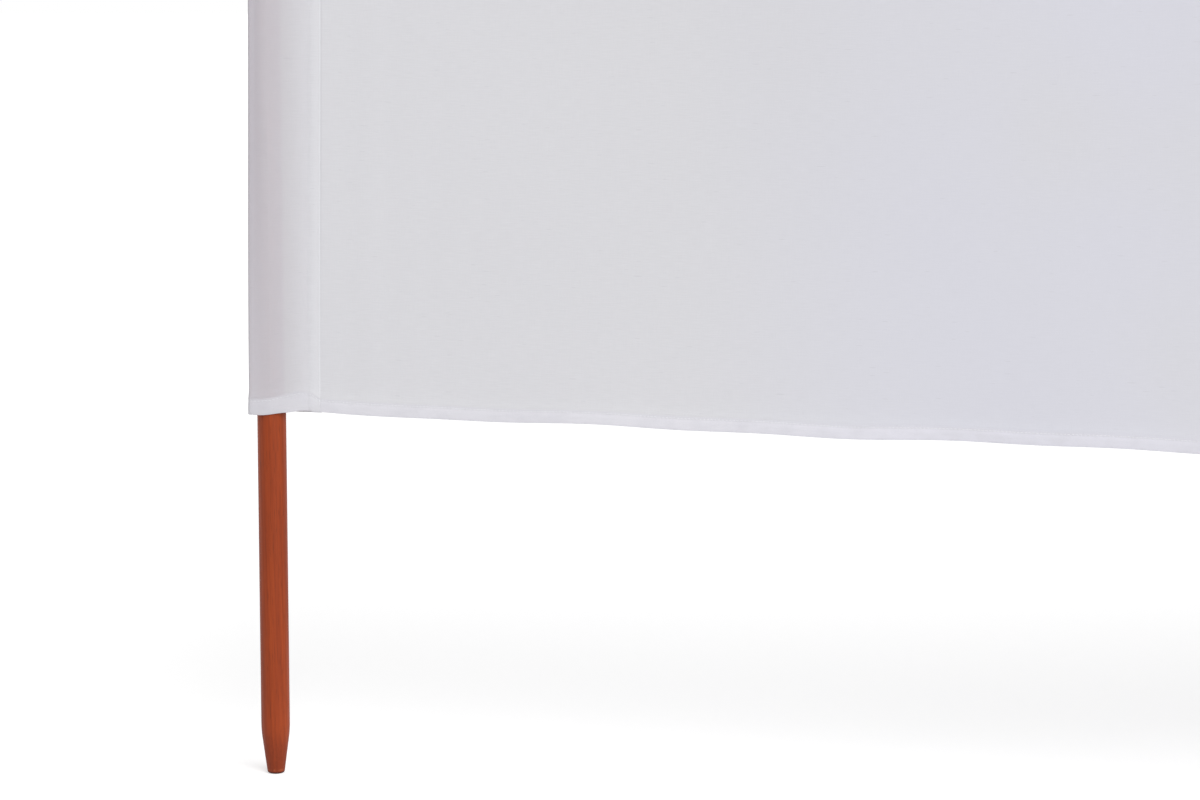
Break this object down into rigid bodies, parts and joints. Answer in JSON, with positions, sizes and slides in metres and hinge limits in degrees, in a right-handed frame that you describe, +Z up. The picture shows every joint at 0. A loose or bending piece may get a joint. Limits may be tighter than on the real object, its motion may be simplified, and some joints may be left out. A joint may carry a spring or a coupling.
{
  "type": "beach windbreak",
  "caption": "Zigzag run of white hemmed cloth bays on pointed wooden poles that stand in sewn pockets and push into sand to break the wind.",
  "frame": {"origin": "middle of the blunt tip of the centre pole, on its flat end face", "axes": "+X along the run of bays, -Y towards the front, +Z up the poles"},
  "size_m": [4.6118, 0.4042, 1.2],
  "materials": {
    "cloth": "fine plain weave, matt white",
    "pole_wood": "red-brown stain, satin"
  },
  "bodies": {
    "root": {"pole_1": "pole_wood", "pole_2": "pole_wood", "pole_3": "pole_wood", "pole_4": "pole_wood", "pole_5": "pole_wood", "bay_1": "cloth", "bay_2": "cloth", "bay_3": "cloth", "bay_4": "cloth", "top_hem_1": "cloth", "top_hem_2": "cloth", "top_hem_3": "cloth", "top_hem_4": "cloth", "bottom_hem_1": "cloth", "bottom_hem_2": "cloth", "bottom_hem_3": "cloth", "bottom_hem_4": "cloth", "end_pocket_1": "cloth", "end_pocket_5": "cloth", "pocket_front_2": "cloth", "pocket_front_3": "cloth", "pocket_front_4": "cloth", "pocket_back_2": "cloth", "pocket_back_3": "cloth", "pocket_back_4": "cloth"}
  },
  "joints": []
}
